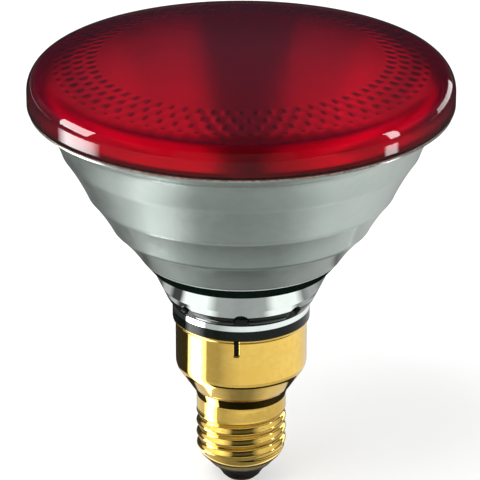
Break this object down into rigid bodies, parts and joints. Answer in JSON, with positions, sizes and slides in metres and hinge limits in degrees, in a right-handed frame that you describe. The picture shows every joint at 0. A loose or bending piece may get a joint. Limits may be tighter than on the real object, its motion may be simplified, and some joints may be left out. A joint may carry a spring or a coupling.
{
  "type": "infrared heat lamp bulb",
  "caption": "Infrared heat lamp bulb: domed red glass lens fused to a mirrored glass reflector bowl, on a skirted brass screw cap with a centre contact.",
  "frame": {"origin": "on the lamp's axis, at the outer face of the centre contact", "axes": "+Z along the lamp's axis from the centre contact to the crown of the lens; -Y is the side that faces the viewer in the picture"},
  "size_m": [0.121, 0.121, 0.1358],
  "materials": {
    "red_glass": "glossy red glass, stippled inside",
    "silvered_glass": "glass with a silver mirror layer inside the bowl, clear at the neck",
    "clear_glass": "clear glass",
    "ferrule_metal": "dull drawn metal",
    "post_metal": "drawn wire",
    "filament_metal": "dark tungsten",
    "brass": "bright drawn brass",
    "black_glass": "glossy black glass",
    "solder": "dull solder",
    "lead_wire": "drawn wire"
  },
  "bodies": {
    "root": {"lens": "red_glass", "reflector": "silvered_glass", "exhaust_tip": "clear_glass", "ferrule_left": "ferrule_metal", "ferrule_right": "ferrule_metal", "lead_post_left": "post_metal", "lead_post_right": "post_metal", "filament": "filament_metal", "skirt": "brass", "screw_shell": "brass", "insulator": "black_glass", "centre_contact": "brass", "contact_solder": "solder", "contact_lead": "lead_wire", "shell_lead": "lead_wire", "shell_solder": "solder"}
  },
  "joints": []
}
